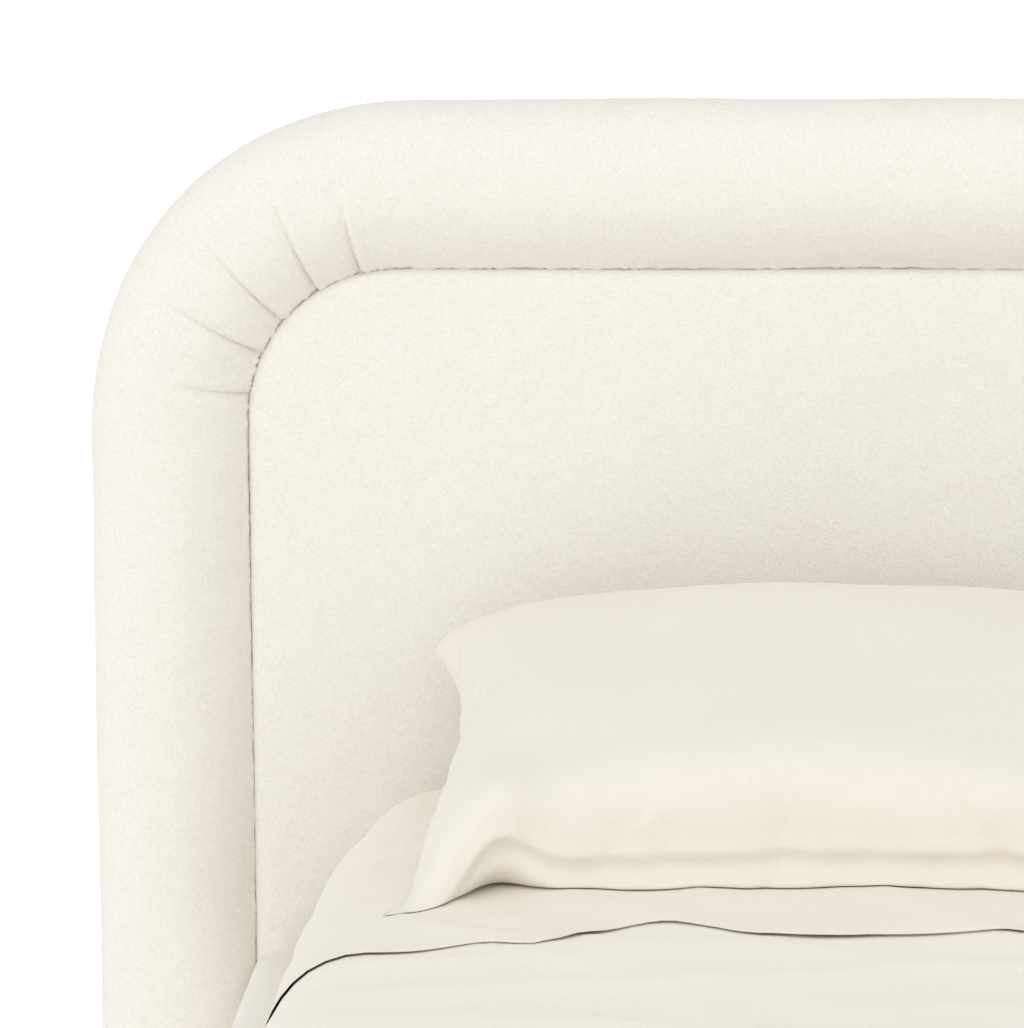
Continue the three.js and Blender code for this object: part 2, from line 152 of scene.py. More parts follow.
def quads(rows, cols):
    """The faces of a grid whose vertices are numbered row by row."""
    index = np.arange(rows * cols).reshape(rows, cols)
    corners = [index[:-1, :-1], index[1:, :-1], index[1:, 1:], index[:-1, 1:]]
    return np.stack(corners, -1).reshape(-1, 4)


def normals_of(points):
    """Unit normals of a grid of points."""
    across = np.gradient(points, axis=1)
    along = np.gradient(points, axis=0)
    normal = np.cross(across, along)
    return normal / np.maximum(np.linalg.norm(normal, axis=2, keepdims=True), 1e-12)


def close_holes(made):
    """Fills each open edge loop of a mesh and turns its faces outwards."""
    bm = bmesh.new()
    bm.from_mesh(made.data)
    bmesh.ops.remove_doubles(bm, verts=bm.verts, dist=WELD)
    edges = [e for e in bm.edges if e.is_boundary]
    if edges:
        bmesh.ops.holes_fill(bm, edges=edges, sides=0)
    bmesh.ops.recalc_face_normals(bm, faces=bm.faces)
    bm.to_mesh(made.data)
    bm.free()
    made.data.shade_smooth()
    return made


def two_layers(name, outside, inside, material):
    """A closed solid between two grids of points of the same size."""
    rows, cols = outside.shape[:2]
    count = rows * cols
    top = quads(rows, cols)
    index = np.arange(count).reshape(rows, cols)
    loop = np.concatenate([index[0, :-1], index[:-1, -1], index[-1, :0:-1], index[:0:-1, 0]])
    following = np.roll(loop, -1)
    rim = np.stack([loop, loop + count, following + count, following], -1)
    vertices = np.concatenate([outside.reshape(-1, 3), inside.reshape(-1, 3)])
    made = mesh_object(name, vertices, np.concatenate([top, top[:, ::-1] + count, rim]), material)
    return close_holes(made)


def both_sides(route):
    """A route that ends at x = 0, followed by its mirror image back to the other side."""
    return np.concatenate([route, (route * np.array([-1, 1]))[-2::-1]])


def graded(length, fine, coarse, growth=1.25):
    """Distances from 0 to length whose steps grow from fine to coarse."""
    steps = [fine]
    while sum(steps) < length:
        steps.append(min(steps[-1] * growth, coarse))
    places = np.concatenate([[0], np.cumsum(steps)])
    return places * (length / places[-1])


# ---- Materials -------------------------------------------------------------------------------


class Nodes:
    """A small helper that adds nodes to one material and links them."""

    def __init__(self, name):
        self.material = bpy.data.materials.new(name)
        self.material.use_nodes = True
        self.tree = self.material.node_tree
        self.shader = self.tree.nodes["Principled BSDF"]
        self.place = self.tree.nodes.new("ShaderNodeTexCoord").outputs["Object"]

    def add(self, kind, settings=None, **inputs):
        node = self.tree.nodes.new(kind)
        for key, value in (settings or {}).items():
            setattr(node, key, value)
        for key, value in inputs.items():
            self.set(node.inputs[key.replace("_", " ")], value)
        return node

    def set(self, socket, value):
        if isinstance(value, bpy.types.NodeSocket):
            self.tree.links.new(value, socket)
        else:
            socket.default_value = value

    def math(self, operation, a, b=0.0):
        node = self.tree.nodes.new("ShaderNodeMath")
        node.operation = operation
        self.set(node.inputs[0], a)
        self.set(node.inputs[1], b)
        return node.outputs[0]

    def stretched(self, scale):
        return self.add("ShaderNodeMapping", Vector=self.place, Scale=scale).outputs[0]

    def ramp(self, factor, stops):
        node = self.add("ShaderNodeValToRGB", Fac=factor)
        elements = node.color_ramp.elements
        while len(elements) < len(stops):
            elements.new(0.5)
        for element, (position, color) in zip(elements, stops, strict=True):
            element.position = position
            element.color = (*color, 1)
        return node.outputs["Color"]

    def bump(self, height, strength, distance, normal=None):
        node = self.add("ShaderNodeBump", Height=height, Strength=strength, Distance=distance)
        if normal:
            self.set(node.inputs["Normal"], normal)
        return node.outputs["Normal"]

    def finish(self, color, roughness, normal=None, sheen=0.0, metallic=0.0):
        self.set(self.shader.inputs["Base Color"], color)
        self.set(self.shader.inputs["Roughness"], roughness)
        self.shader.inputs["Metallic"].default_value = metallic
        self.shader.inputs["Sheen Weight"].default_value = sheen
        self.shader.inputs["Sheen Roughness"].default_value = 0.5
        self.shader.inputs["Specular IOR Level"].default_value = 0.25 if metallic == 0 else 0.5
        if normal:
            self.set(self.shader.inputs["Normal"], normal)
        return self.material


def boucle_material():
    """Cream looped yarn: small round loops, with painted shade a little darker and warmer between
    them.
    """
    n = Nodes("boucle")
    wander = n.add("ShaderNodeTexNoise", Vector=n.place, Scale=150.0, Detail=2.0)
    bent = n.add("ShaderNodeMix", {"data_type": "VECTOR"}, Factor=0.006)
    n.set(bent.inputs[4], n.place)
    n.set(bent.inputs[5], wander.outputs["Color"])
    smooth = {"feature": "SMOOTH_F1"}
    loops = n.add("ShaderNodeTexVoronoi", smooth, Vector=bent.outputs[1], Scale=380.0)
    loops.inputs["Smoothness"].default_value = 0.5
    yarn = n.add("ShaderNodeTexNoise", Vector=n.place, Scale=900.0, Detail=3.0, Roughness=0.6)
    patches = n.add("ShaderNodeTexNoise", Vector=n.place, Scale=60.0, Detail=3.0)
    hill = n.math("SUBTRACT", 1.0, n.math("MULTIPLY", loops.outputs["Distance"], 1.3))
    height = n.math("ADD", hill, n.math("MULTIPLY", yarn.outputs["Fac"], 0.30))
    height = n.math("ADD", height, n.math("MULTIPLY", patches.outputs["Fac"], 0.45))
    # Painted shade: the colour darkens with the height towards the hollows between the loops, while
    # the larger patches are the yarn's uneven tone.
    color = n.ramp(height, [(0.35, BOUCLE_VALLEY_SHADE), (0.85, BOUCLE_MIDDLE), (1.0, BOUCLE_CREST)])
    return n.finish(color, 0.93, n.bump(height, 0.27, 0.0012), sheen=0.15)


def linen_material(name, crest, valley, bump=0.35):
    """Plain-woven linen: crossing threads with uneven, thicker slubs."""
    n = Nodes(name)
    warp = n.add("ShaderNodeTexNoise", Vector=n.stretched((900, 28, 60)), Scale=1.0, Detail=2.0)
    weft = n.add("ShaderNodeTexNoise", Vector=n.stretched((28, 900, 900)), Scale=1.0, Detail=2.0)
    cloud = n.add("ShaderNodeTexNoise", Vector=n.place, Scale=14.0, Detail=3.0)
    weave = n.math("ADD", warp.outputs["Fac"], weft.outputs["Fac"])
    slubs = n.math("MULTIPLY", cloud.outputs["Fac"], 0.3)
    tone = n.math("ADD", n.math("MULTIPLY", weave, 0.35), slubs)
    color = n.ramp(tone, [(0.35, valley), (0.65, crest)])
    return n.finish(color, 0.85, n.bump(weave, bump, 0.0006), sheen=0.12)


def wood_material(name, light, dark, roughness, grain):
    """Straight-grained timber, with its grain along the axis where grain is smallest."""
    n = Nodes(name)
    along = n.stretched(grain)
    rings = n.add("ShaderNodeTexNoise", Vector=along, Scale=1.0, Detail=6.0, Roughness=0.6)
    finer = n.stretched(tuple(size * 8 for size in grain))
    pores = n.add("ShaderNodeTexNoise", Vector=finer, Scale=1.0, Detail=2.0)
    tone = n.math("ADD", rings.outputs["Fac"], n.math("MULTIPLY", pores.outputs["Fac"], 0.15))
    color = n.ramp(tone, [(0.35, dark), (0.75, light)])
    return n.finish(color, roughness, n.bump(tone, 0.2, 0.0008))


def steel_material():
    """Black powder-coated steel, finely pitted."""
    n = Nodes("coated_steel")
    pits = n.add("ShaderNodeTexNoise", Vector=n.place, Scale=900.0, Detail=2.0)
    stops = [(0.3, (0.018, 0.018, 0.020)), (0.7, (0.035, 0.035, 0.038))]
    color = n.ramp(pits.outputs["Fac"], stops)
    return n.finish(color, 0.45, n.bump(pits.outputs["Fac"], 0.15, 0.0003), metallic=0.6)


def plastic_material():
    """Black moulded plastic with a fine grain."""
    n = Nodes("moulded_plastic")
    grain = n.add("ShaderNodeTexVoronoi", Vector=n.place, Scale=1400.0)
    stops = [(0.0, (0.016, 0.016, 0.017)), (1.0, (0.028, 0.028, 0.029))]
    color = n.ramp(grain.outputs["Distance"], stops)
    return n.finish(color, 0.55, n.bump(grain.outputs["Distance"], 0.2, 0.0003))


def lining_material():
    """Thin black non-woven lining, pressed in small dimples."""
    n = Nodes("non_woven_lining")
    dimples = n.add("ShaderNodeTexVoronoi", Vector=n.place, Scale=330.0)
    fibre = n.add("ShaderNodeTexNoise", Vector=n.place, Scale=700.0, Detail=4.0)
    tone = n.math("ADD", dimples.outputs["Distance"], n.math("MULTIPLY", fibre.outputs["Fac"], 0.5))
    color = n.ramp(tone, [(0.3, (0.022, 0.021, 0.020)), (1.0, (0.055, 0.053, 0.050))])
    return n.finish(color, 0.9, n.bump(tone, 0.4, 0.0006))


# The valley colour is painted shade between the loops, not the yarn's own colour.
BOUCLE_CREST = (0.878, 0.851, 0.793)
BOUCLE_MIDDLE = (0.862, 0.832, 0.770)
BOUCLE_VALLEY_SHADE = (0.829, 0.795, 0.727)

BOUCLE = boucle_material()
PILLOW_LINEN = linen_material("pillow_linen", (0.860, 0.821, 0.738), (0.830, 0.788, 0.703))
SHEET_LINEN = linen_material("sheet_linen", (0.885, 0.840, 0.756), (0.855, 0.806, 0.721))
DUVET_LINEN = linen_material("duvet_linen", (0.900, 0.864, 0.776), (0.870, 0.832, 0.741))
TICKING = linen_material("mattress_ticking", (0.86, 0.84, 0.78), (0.80, 0.78, 0.72))
PINE_X = wood_material("slat_birch", (0.68, 0.49, 0.28), (0.52, 0.34, 0.17), 0.5, (4, 60, 60))
PINE_Y = wood_material("rail_pine", (0.66, 0.46, 0.25), (0.50, 0.31, 0.14), 0.6, (60, 4, 60))
PINE_Z = wood_material("post_pine", (0.66, 0.46, 0.25), (0.50, 0.31, 0.14), 0.6, (60, 60, 4))
OAK = wood_material("foot_oak", (0.30, 0.19, 0.10), (0.16, 0.09, 0.045), 0.4, (70, 70, 5))
STEEL = steel_material()
PLASTIC = plastic_material()
LINING = lining_material()

# ---- Headboard border ------------------------------------------------------------------------

GROOVE = 0.0008  # half of the seam's open width
GROOVE_DEPTH = 0.067  # layers are distances in front of the headboard's back
SEAM_LAYER = 0.076
SEAM_TURN = 0.003  # how far the panel's cloth is turned in under the border
CREST_LAYER = cad_high.y - border_low.y
SIDE_LAYER = 0.056  # the outermost line of the roll
RETURN_LAYER = 0.0016
ROLL_POWER = 2.35  # 2 is an ellipse, and more is squarer
CREST_AT = 0.50  # shares of the border's width, from the seam outwards
BACK_AT = 0.885
RETURN_AT = 0.80
BORDER_WAVES = [(0.11, 0.0016, 3), (0.035, 0.0006, 4), (0.0075, 0.00045, 5)]
RAGGED_CELL = 0.0085  # the border's edge reaches over the seam unevenly
RAGGED_REACH = 0.0034
ROW_STEP = 0.0044
TOP_ROWS = 165
WALL_ROWS = 3  # down the seam's side
FALL_ROWS = 26  # from the crest to the outermost line, and from there to the back
UNDER_ROWS = 14
RISE_STEPS = (1.2, 4.2)  # degrees from row to row, from the seam up to the crest
RISE_EASE = 1.25
RISE_POWER = 0.95
WIDEST = 0.6  # more than the border's width anywhere
HALVINGS = 24
CORNER_STEP = 0.3  # degrees
ANGLE_PER_METRE = 400  # how fast a corner's angle runs on past the corner

# Each pleat: where it starts on the seam, as an angle about the inner corner's centre from level
# upwards, how far it leans from straight outwards, its length and its depth.
PLEATS = [
    (9.0, 2.0, 0.072, 0.0062),
    (25.5, 6.0, 0.112, 0.0072),
    (40.5, 8.0, 0.132, 0.0074),
    (58.5, 8.0, 0.118, 0.0080),
    (76.5, 1.5, 0.100, 0.0076),
]
PLEAT_START = (-0.004, 0.006)  # distances from the seam over which a pleat sets in
CREASE_WIDTHS = (0.0011, 0.0038)  # the steep side's and the gentle side's
FOLD_SHARE = 0.30  # of the pleat's depth, which the cloth beside it stands out
FOLDS = [(1.0, 0.008, 0.008), (0.5, -0.018, 0.010)]  # how much of that, how far beside, how wide


def seam_path():
    """Points along the seam from the lower left end over the top to the lower right end, with the
    direction away from the panel and the angle round a corner in degrees, which runs on past it."""
    leg = np.arange(BORDER_BOTTOM, INNER_TOP - INNER_RADIUS, ROW_STEP)
    angle = np.arange(0, 90, CORNER_STEP)
    top = np.linspace(-(INNER_HALF - INNER_RADIUS), 0, TOP_ROWS)
    centre = np.array([-(INNER_HALF - INNER_RADIUS), INNER_TOP - INNER_RADIUS])
    turn = np.radians(angle)
    out = np.stack([-np.cos(turn), np.sin(turn)], -1)
    points = np.concatenate(
        [
            np.stack([np.full_like(leg, -INNER_HALF), leg], -1),
            centre + INNER_RADIUS * out,
            np.stack([top, np.full_like(top, INNER_TOP)], -1),
        ]
    )
    left, up = np.tile([-1.0, 0.0], (len(leg), 1)), np.tile([0.0, 1.0], (len(top), 1))
    outward = np.concatenate([left, out, up])
    before, after = (leg - leg[-1]) * ANGLE_PER_METRE, 90 + (top - top[0]) * ANGLE_PER_METRE
    angles = np.concatenate([before, angle, after])
    return both_sides(points), both_sides(outward), np.concatenate([angles, angles[-2::-1]])


def inside_outline(points):
    """Whether points in x and z are inside the headboard's outer outline."""
    x, z = np.abs(points[:, 0]), points[:, 1]
    across = np.clip((x - (BORDER_HALF - CORNER_AXIS)) / CORNER_AXIS, 0, None)
    up = np.clip((z - (BORDER_TOP - CORNER_AXIS)) / CORNER_AXIS, 0, None)
    return across**CORNER_POWER + up**CORNER_POWER < 1


def border_widths(points, outward):
    """The distance from the seam to the outer edge along each direction, by bisection."""
    low, high = np.zeros(len(points)), np.full(len(points), WIDEST)
    for _ in range(HALVINGS):
        middle = (low + high) / 2
        inside = inside_outline(points + outward * middle[:, None])
        low, high = np.where(inside, middle, low), np.where(inside, high, middle)
    return low


def roll_section():
    """The roll's section from the seam's depth, over the crest and round the outer edge to the
    back: the share of the width from the seam, and the layer."""
    power = 2 / ROLL_POWER
    rise = np.radians(graded(90, *RISE_STEPS))
    fall = np.radians(np.linspace(3.5, 90, FALL_ROWS))
    under = np.radians(np.linspace(6, 90, UNDER_ROWS))
    wall = np.linspace(GROOVE_DEPTH, SEAM_LAYER, WALL_ROWS + 1)[:-1]
    across = [np.zeros(WALL_ROWS), CREST_AT * (rise / rise[-1]) ** RISE_EASE]
    layer = [wall, SEAM_LAYER + (CREST_LAYER - SEAM_LAYER) * np.sin(rise) ** RISE_POWER]
    across.append(CREST_AT + (1 - CREST_AT) * np.sin(fall) ** power)
    layer.append(SIDE_LAYER + (CREST_LAYER - SIDE_LAYER) * np.abs(np.cos(fall)) ** power)
    across.append(BACK_AT + (1 - BACK_AT) * np.abs(np.cos(under)) ** power)
    layer.append(SIDE_LAYER - (SIDE_LAYER - RETURN_LAYER) * np.sin(under) ** power)
    across.append([RETURN_AT])
    layer.append([RETURN_LAYER])
    return np.concatenate(across), np.concatenate(layer)


def pleat_height(angles, reach):
    """How far the pleats push the cloth in, and the fold beside each pleat pushes it out."""
    height = np.zeros((len(angles), len(reach[0])))
    for at, lean, length, depth in PLEATS:
        beside = np.radians(angles - at)[:, None] * (INNER_RADIUS + reach)
        beside = beside - reach * math.tan(math.radians(lean))
        fade = np.clip(1 - reach / length, 0, 1) ** 0.9 * smooth_step(reach, *PLEAT_START)
        crease = np.exp(-np.abs(beside) / np.where(beside > 0, *CREASE_WIDTHS))
        fold = sum(share * bell(beside, middle, wide) for share, middle, wide in FOLDS)
        height += fade * depth * (FOLD_SHARE * fold - crease)
    return height


def border_piece():
    """The border's cloth over its foam, swept along the seam as one closed roll."""
    points, outward, angles = seam_path()
    width = border_widths(points, outward)
    across, layer = roll_section()
    reach = GROOVE + across[None, :] * (width[:, None] - GROOVE)
    flat = points[:, None, :] + outward[:, None, :] * reach[:, :, None]
    depth = np.broadcast_to(BACK_Y - layer, reach.shape)
    grid = np.stack([flat[..., 0], depth, flat[..., 1]], -1)
    # The waves and the pleats are on the front, and leave out the seam's side and the back.
    front = smooth_step(layer, SIDE_LAYER - 0.02, SIDE_LAYER + 0.01)[None, :]
    front = front * smooth_step(layer, 0.070, 0.077)[None, :]
    outer = smooth_step(across, 0.6, 0.9)[None, :]
    normal = -normals_of(grid)
    uneven = waves(grid, BORDER_WAVES) * np.maximum(front, outer * 0.7)
    amount = uneven + pleat_height(angles, reach) * front
    at_seam = 1 - smooth_step(across, 0.0, 0.03)[None, :]
    nudge = -np.abs(noise(grid, RAGGED_CELL, 6)) * RAGGED_REACH * at_seam
    grid = grid + normal * amount[..., None]
    grid[..., 0] += nudge * outward[:, None, 0]
    grid[..., 2] += nudge * outward[:, None, 1]
    closed = np.concatenate([grid, grid[:, :1]], axis=1)
    rows, cols = closed.shape[:2]
    made = mesh_object("border_upholstery", closed.reshape(-1, 3), quads(rows, cols), BOUCLE)
    return close_holes(made)


# ---- Headboard panel -------------------------------------------------------------------------

PANEL_WAVES = [(0.16, 0.0016, 11), (0.04, 0.0005, 12), (0.0075, 0.00045, 13)]
PANEL_EDGE = 0.05  # the width of the closer rows and columns
PANEL_STEP = 0.0065
PANEL_COLUMNS = 236
PANEL_TURN_RISE = 0.007  # over its turned-in edge
# From the seam inwards it rises in steps: how far, and over what distance.
PANEL_RISES = [(0.005, 0.0010), (0.008, 0.0050), (0.005, 0.10)]
PANEL_RAGGED_CELL = 0.010
PANEL_RAGGED_REACH = 0.0007


def panel_grid():
    """Points over the panel's outline in x and z, closer together near its edges, and each
    point's distance in from the outline."""
    edge = graded(PANEL_EDGE, 0.0010, 0.006)
    top = INNER_TOP + SEAM_TURN
    half = INNER_HALF + SEAM_TURN
    radius = INNER_RADIUS + SEAM_TURN
    bottom = PANEL_BOTTOM
    inner = np.arange(bottom + PANEL_EDGE, top - PANEL_EDGE, PANEL_STEP)
    z = np.concatenate([bottom + edge[:-1], inner, top - edge[::-1]])
    rise = np.clip(z - (top - radius), 0, radius)
    reach = half - radius + np.sqrt(np.maximum(radius**2 - rise**2, 0))
    middle = np.linspace(-1, 1, PANEL_COLUMNS)[1:-1]
    x = np.concatenate(
        [
            -reach[:, None] + edge[None, :],
            middle[None, :] * (reach[:, None] - PANEL_EDGE),
            reach[:, None] - edge[None, ::-1],
        ],
        axis=1,
    )
    z = np.broadcast_to(z[:, None], x.shape)
    over_x = np.abs(x) - (half - radius)
    over_z = z - (top - radius)
    corner = radius - np.hypot(np.clip(over_x, 0, None), np.clip(over_z, 0, None))
    straight = np.minimum(half - np.abs(x), top - z)
    inset = np.where((over_x > 0) & (over_z > 0), corner, straight)
    return x, z, np.clip(np.minimum(inset, z - bottom), 0, None)


def panel_piece():
    """The panel's cloth, tucked into the seam at its edges and slightly crowned inside them."""
    x, z, inset = panel_grid()
    seen = np.clip(inset - SEAM_TURN, 0, None)
    layer = GROOVE_DEPTH + PANEL_TURN_RISE * smooth_step(inset, 0.0, SEAM_TURN)
    layer = layer + sum(rise * (1 - np.exp(-seen / distance)) for rise, distance in PANEL_RISES)
    grid = np.stack([x, BACK_Y - layer, z], -1)
    grid[..., 1] -= waves(grid, PANEL_WAVES) * smooth_step(inset, 0.0005, 0.006)
    at_edge = 1 - smooth_step(inset, 0.001, 0.008)
    ragged = noise(grid, PANEL_RAGGED_CELL, 14) * PANEL_RAGGED_REACH * at_edge
    grid[..., 0] += ragged
    grid[..., 2] += ragged
    made = mesh_object("panel_upholstery", grid.reshape(-1, 3), quads(*x.shape), BOUCLE)
    return close_holes(made)


# ---- Rails -----------------------------------------------------------------------------------

RAIL_WAVES = [(0.14, 0.0016, 21), (0.04, 0.0005, 22), (0.012, 0.0003, 23)]
RAIL_CORNER = 0.024
RAIL_STEP = 0.011
RAIL_CORNER_ROWS = 13
RAIL_FOOT_ROWS = 76
RAIL_FACE_STEP = 0.0095
RAIL_CROWN = 0.003
ROUND_TOP = 0.022
ROUND_LOW = 0.006


def rail_path():
    """The outer face's route seen from above, from the head end along the left side, round the foot
    and back along the right side, with its outward directions."""
    corner = RAIL_CORNER
    half, head, foot = RAIL_HALF, rail_high.y, foot_rail_low.y - 0.002
    side = np.arange(head, foot + corner, -RAIL_STEP)
    turn = np.radians(np.linspace(0, 90, RAIL_CORNER_ROWS))
    out = np.stack([-np.cos(turn), -np.sin(turn)], -1)
    arc = np.array([-half + corner, foot + corner]) + corner * out
    across = np.linspace(-half + corner, 0, RAIL_FOOT_ROWS)[1:]
    along = np.stack([np.full_like(side, -half), side], -1)
    points = np.concatenate([along, arc, np.stack([across, np.full_like(across, foot)], -1)])
    left, down = np.tile([-1.0, 0.0], (len(side), 1)), np.tile([0.0, -1.0], (len(across), 1))
    outward = np.concatenate([left, out, down])
    return both_sides(points), both_sides(outward)


def rail_section():
    """The rail's section as distances in from its outer face, and heights."""
    thickness = RAIL_HALF - rail_low.x
    bottom, top = rail_low.z, RAIL_TOP
    turn = np.radians(np.linspace(0, 90, 8))
    face = np.arange(bottom + ROUND_LOW, top - ROUND_TOP, RAIL_FACE_STEP)
    inset = [[thickness - 0.004, thickness / 2, ROUND_LOW], ROUND_LOW * (1 - np.sin(turn[1:-1]))]
    height = [[bottom] * 3, bottom + ROUND_LOW * (1 - np.cos(turn[1:-1]))]
    inset += [np.zeros(len(face)), ROUND_TOP * (1 - np.cos(turn[1:]))]
    height += [face, top - ROUND_TOP + ROUND_TOP * np.sin(turn[1:])]
    inset += [thickness - ROUND_TOP * (1 - np.sin(turn)), [thickness] * 6]
    height += [top - ROUND_TOP + ROUND_TOP * np.cos(turn)]
    height += [np.linspace(top - ROUND_TOP - 0.02, bottom + 0.004, 6)]
    return np.concatenate(inset), np.concatenate(height)


def rail_piece():
    """The rails' cloth over board and foam, in one sweep round three sides of the bed."""
    points, outward = rail_path()
    inset, height = rail_section()
    flat = points[:, None, :] - outward[:, None, :] * inset[None, :, None]
    z = np.broadcast_to(height, flat.shape[:2])
    grid = np.stack([flat[..., 0], flat[..., 1], z], -1)
    normal = normals_of(grid)
    face = (inset < 0.03)[None, :] & (height > rail_low.z + 0.004)[None, :]
    up = np.clip((height - rail_low.z) / (rail_high.z - rail_low.z), 0, 1)
    padded = RAIL_CROWN * np.sin(np.pi * up) * (inset < 0.01)
    amount = waves(grid, RAIL_WAVES) * face + padded[None, :]
    out3 = np.stack([outward[:, 0], outward[:, 1], np.zeros(len(outward))], -1)[:, None, :]
    sign = np.sign(np.einsum("ijk,ijk->ij", normal, np.broadcast_to(out3, normal.shape)).mean())
    grid = grid + sign * normal * amount[..., None]
    closed = np.concatenate([grid, grid[:, :1]], axis=1)
    made = mesh_object("rail_upholstery", closed.reshape(-1, 3), quads(*closed.shape[:2]), BOUCLE)
    return close_holes(made)


# ---- Bedding ---------------------------------------------------------------------------------

MATTRESS_HALF = 0.741
EDGE_RADIUS = 0.075
FLAT_HALF = MATTRESS_HALF - EDGE_RADIUS
CROWN = 0.012
HEAD_RISE = 0.036
TICKING_DROP = 0.277
FITTED_DROP = 0.265
EDGE_DROP = 0.168  # from the mattress's top to where the bedding is tucked in
HEAD_EDGE = PANEL_Y - 0.235  # the duvet's head end

# Distances out from the mattress's surface.
SHEET_OFFSET = 0.0035
DUVET_UNDER = 0.0060
DUVET_SIDE = 0.0060  # the duvet's thickness where it hangs
DUVET_HEAD = 0.0150  # its upper face at the head end, and further down the bed
DUVET_LOFT = 0.0270
DUVET_FOOT = duvet_low.y + EDGE_RADIUS + DUVET_LOFT
DUVET_ROUNDING = 0.008
ROUNDING_ROWS = (1.0, 0.7, 0.45, 0.25, 0.1, 0.02, 0.0)  # shares of it, from the edge
EDGE_OPEN = 0.08  # the share of the duvet's thickness that is left at its very edge
# Places on a cloth's overhang, which runs from 1 at the bed's edge to 2, between which the cloth
# loses its wrinkles, and its loft.
TUCK_FADE = (1.35, 1.9)
SIDE_FADE = (0.97, 1.5)

SHEET_HALF = 0.0008  # half of the top sheet's thickness
SHEET_CLEAR = 0.0012  # from the duvet to the middle of the sheet that lies on it
HEM_LIFT = 0.0022
HEM_SIDE_LIFT = 0.0012
HEM_SIDE_AT = (0.66, 0.06)
CLOTH_STEP = 0.011
TURNED_REACH = 0.492
# Where the hem runs further towards the foot, or less far: by how much, where across the bed, and
# over what width.
HEM_WAVES = [
    (0.030, -0.70, 0.04),
    (0.040, -0.64, 0.05),
    (0.036, -0.535, 0.045),
    (-0.045, -0.43, 0.06),
    (0.022, 0.34, 0.07),
    (-0.018, 0.62, 0.05),
]


def crown(x, y):
    """How much higher the bed is than at its sides: in the middle, and most at the head end."""
    out = np.clip(np.abs(x) / MATTRESS_HALF, 0, 1)
    near_head = 1 - smooth_step(PANEL_Y - y, 0.05, 0.50)
    return CROWN * (1 - out**4) + HEAD_RISE * near_head * (1 - out**6)


def over_mattress(a, b, low, high, drop):
    """The mattress's surface and its outward directions. a and b are places across and along a
    cloth that lies on it and folds down over its edges, as fractions: -1 to 1 is the flat part
    between low and high, and past it is the overhang, up to 2, which reaches drop below the top."""
    over_a = np.clip(np.abs(a) - 1, 0, 1)
    over_b = np.clip(np.abs(b) - 1, 0, 1)
    large = np.maximum(over_a, over_b)
    quarter = np.pi / 4 * np.minimum(over_a, over_b) / np.maximum(large, 1e-9)
    plan = np.where(over_a >= over_b, quarter, np.pi / 2 - quarter)
    reach = large * (drop + EDGE_RADIUS * (np.pi / 2 - 1))
    turned = np.minimum(reach / EDGE_RADIUS, np.pi / 2)
    hang = np.maximum(reach - EDGE_RADIUS * np.pi / 2, 0)
    sideways = np.sin(turned)
    normal_x, normal_y = np.sign(a) * np.cos(plan) * sideways, np.sign(b) * np.sin(plan) * sideways
    normal = np.stack([normal_x, normal_y, np.cos(turned)], -1)
    x = np.clip(a, -1, 1) * FLAT_HALF
    y = (low + high) / 2 + np.clip(b, -1, 1) * (high - low) / 2
    z = MATTRESS_TOP - EDGE_RADIUS - hang
    point = np.stack([x, y, z], -1) + normal * EDGE_RADIUS
    point[..., 2] += crown(point[..., 0], point[..., 1])
    return point, normal


def cloth_axis(core_length, drop, step, start=True, end=True):
    """Fractions along one side of a cloth: overhang, flat part, overhang."""
    core = np.linspace(-1, 1, max(int(core_length / step), 2))
    hang = 1 + np.linspace(0, 1, max(int((drop + EDGE_RADIUS * (math.pi / 2 - 1)) / step), 2))[1:]
    return np.concatenate([-hang[::-1] if start else [], core, hang if end else []])


SLANT = np.array([[0.80, 0.60, 0.0], [-0.60, 0.80, 0.0], [0.0, 0.0, 1.0]])
FOLD_DRIFT = 0.09  # how far the folds wander


def linen_folds(points, seed):
    """Soft wrinkles of linen lying on something padded, from 0 to about 1 cm."""
    drift = np.stack([noise(points, 0.4, seed + k) for k in range(3)], -1) * FOLD_DRIFT
    moved = points + drift
    long = ridges(moved, (0.5, 0.13, 0.4), seed + 3, 2.5) * 0.0045
    slant = ridges(moved @ SLANT, (0.34, 0.10, 0.4), seed + 4, 3.0) * 0.0030
    small = ridges(moved, (0.09, 0.05, 0.09), seed + 5, 2.0) * 0.0008
    return long + slant + small + (noise(points, 0.25, seed + 6) + 0.8) * 0.0012


def near_tuck(a, b):
    """1 on top of the bed, falling to 0 where the cloth is pulled into the gap at the rails."""
    return 1 - smooth_step(np.maximum(np.abs(a), np.abs(b)), *TUCK_FADE)


def near_side(a, b):
    """1 on the flat part, falling to 0 where the cloth is folded straight down."""
    return 1 - smooth_step(np.maximum(np.abs(a), np.abs(b)), *SIDE_FADE)


def mattress_part(name, material, drop, step, offset, thickness, wrinkle=0.0, seed=0):
    """A layer of even thickness over the mattress's top and down its sides."""
    low, high = mattress_low.y + EDGE_RADIUS, mattress_high.y - EDGE_RADIUS
    a = cloth_axis(2 * FLAT_HALF, drop, step)
    b = cloth_axis(high - low, drop, step)
    grid_b, grid_a = np.meshgrid(b, a, indexing="ij")
    surface, normal = over_mattress(grid_a, grid_b, low, high, drop)
    lift = offset + wrinkle * ridges(surface, (0.30, 0.12, 0.30), seed, 3.0)
    inside = surface + normal * lift[..., None]
    return two_layers(name, inside + normal * thickness, inside, material)


def mattress_piece():
    """The mattress in its ticking, inside the fitted sheet and seen between the slats."""
    name, thickness = "mattress_ticking", 0.0040
    return mattress_part(name, TICKING, TICKING_DROP, 0.03, -thickness, thickness)


def fitted_sheet():
    """The fitted sheet, stretched over the mattress with a few shallow wrinkles."""
    name, offset, thickness = "fitted_sheet_cloth", 0.0008, 0.0012
    return mattress_part(name, SHEET_LINEN, FITTED_DROP, 0.014, offset, thickness, 0.0012, 41)


